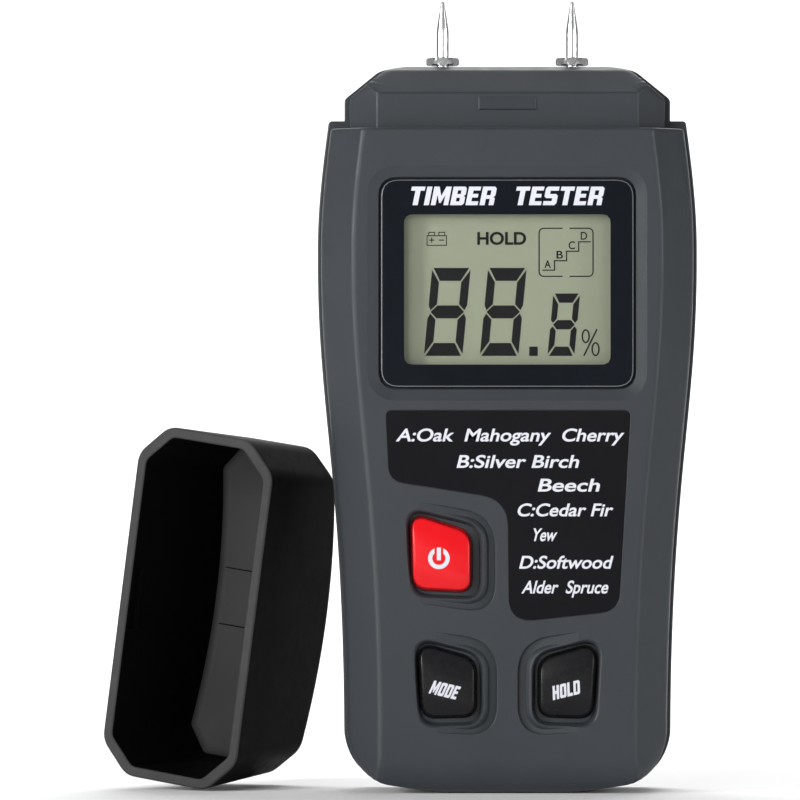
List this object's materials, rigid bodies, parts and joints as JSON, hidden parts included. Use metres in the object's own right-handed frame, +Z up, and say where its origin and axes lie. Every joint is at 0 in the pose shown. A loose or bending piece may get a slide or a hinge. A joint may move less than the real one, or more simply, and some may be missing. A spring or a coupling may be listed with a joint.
{
  "type": "moisture meter",
  "caption": "Handheld two-pin wood moisture meter with waisted grey case, display, slanted keys, steel pins and a loose protective cap leaning beside it.",
  "frame": {"origin": "middle of the flat land under the foot of the meter", "axes": "+Z up along the two pins, the display and keys face -Y, +X is to the right of a viewer who faces the display"},
  "size_m": [0.1069, 0.0475, 0.1415],
  "materials": {
    "case_slate": "fine spark-eroded texture, satin",
    "cap_black": "fine texture, satin",
    "lens_black": "polished, clear window in the middle",
    "label_black": "printed film, satin",
    "lcd_glass": "reflective LCD, olive grey",
    "lcd_ink": "LCD segment, black",
    "white_print": "screen print, white",
    "key_red": "moulded, gloss",
    "key_black": "moulded, semi-gloss",
    "ivory_plastic": "moulded, natural",
    "grey_rubber": "layered silicone",
    "black_component": "moulded epoxy",
    "board_green": "solder mask, semi-gloss",
    "bright_metal": "bright nickel plate",
    "brass": "turned",
    "steel": "zinc plate",
    "cell_wrap": "printed wrap, semi-gloss"
  },
  "bodies": {
    "meter": {"front_shell": "case_slate", "back_shell": "case_slate", "display_lens": "lens_black", "wood_group_label": "label_black", "lcd_glass": "lcd_glass", "lcd_frame": "ivory_plastic", "lcd_connector": "grey_rubber", "power_switch": "black_component", "mode_switch": "black_component", "hold_switch": "black_component", "main_board": "board_green", "controller_chip": "black_component", "supply_capacitor": "black_component", "electrode_block": "ivory_plastic", "pin_left": "bright_metal", "pin_nut_left": "bright_metal", "pin_socket_left": "brass", "pin_lead_left": "brass", "pin_right": "bright_metal", "pin_nut_right": "bright_metal", "pin_socket_right": "brass", "pin_lead_right": "brass", "cell_1": "cell_wrap", "cell_2": "cell_wrap", "cell_3": "cell_wrap", "battery_spring_1": "steel", "battery_spring_2": "steel", "battery_spring_3": "steel", "contact_negative": "steel", "contact_bridge_low": "steel", "contact_bridge_high": "steel", "contact_positive": "steel", "case_screw_1": "steel", "case_screw_2": "steel", "case_screw_3": "steel", "case_screw_4": "steel", "board_screw_1": "steel", "board_screw_2": "steel", "board_screw_3": "steel", "board_screw_4": "steel"},
    "power_key": {"power_button": "key_red", "power_plunger": "ivory_plastic"},
    "mode_key": {"mode_button": "key_black", "mode_plunger": "ivory_plastic"},
    "hold_key": {"hold_button": "key_black", "hold_plunger": "ivory_plastic"},
    "battery_cover": {"battery_door": "case_slate"},
    "cap": {"protective_cap": "cap_black"}
  },
  "joints": [
    {"name": "power_press", "type": "slide", "parent": "meter", "child": "power_key", "axis": [0, 1, 0], "range_m": [0, 0.0006], "stiffness_N_per_m": 2000},
    {"name": "mode_press", "type": "slide", "parent": "meter", "child": "mode_key", "axis": [0, 1, 0], "range_m": [0, 0.0006], "stiffness_N_per_m": 2000},
    {"name": "hold_press", "type": "slide", "parent": "meter", "child": "hold_key", "axis": [0, 1, 0], "range_m": [0, 0.0006], "stiffness_N_per_m": 2000},
    {"name": "battery_door_swing", "type": "hinge", "parent": "meter", "child": "battery_cover", "pos_m": [0, 0.014, 0.0182], "axis": [-1, 0, 0], "range_deg": [0, 100]},
    {"name": "cap_lift", "type": "slide", "parent": "meter", "child": "cap", "axis": [-0.352, 0, 0.936], "range_m": [0, 0.15]}
  ]
}
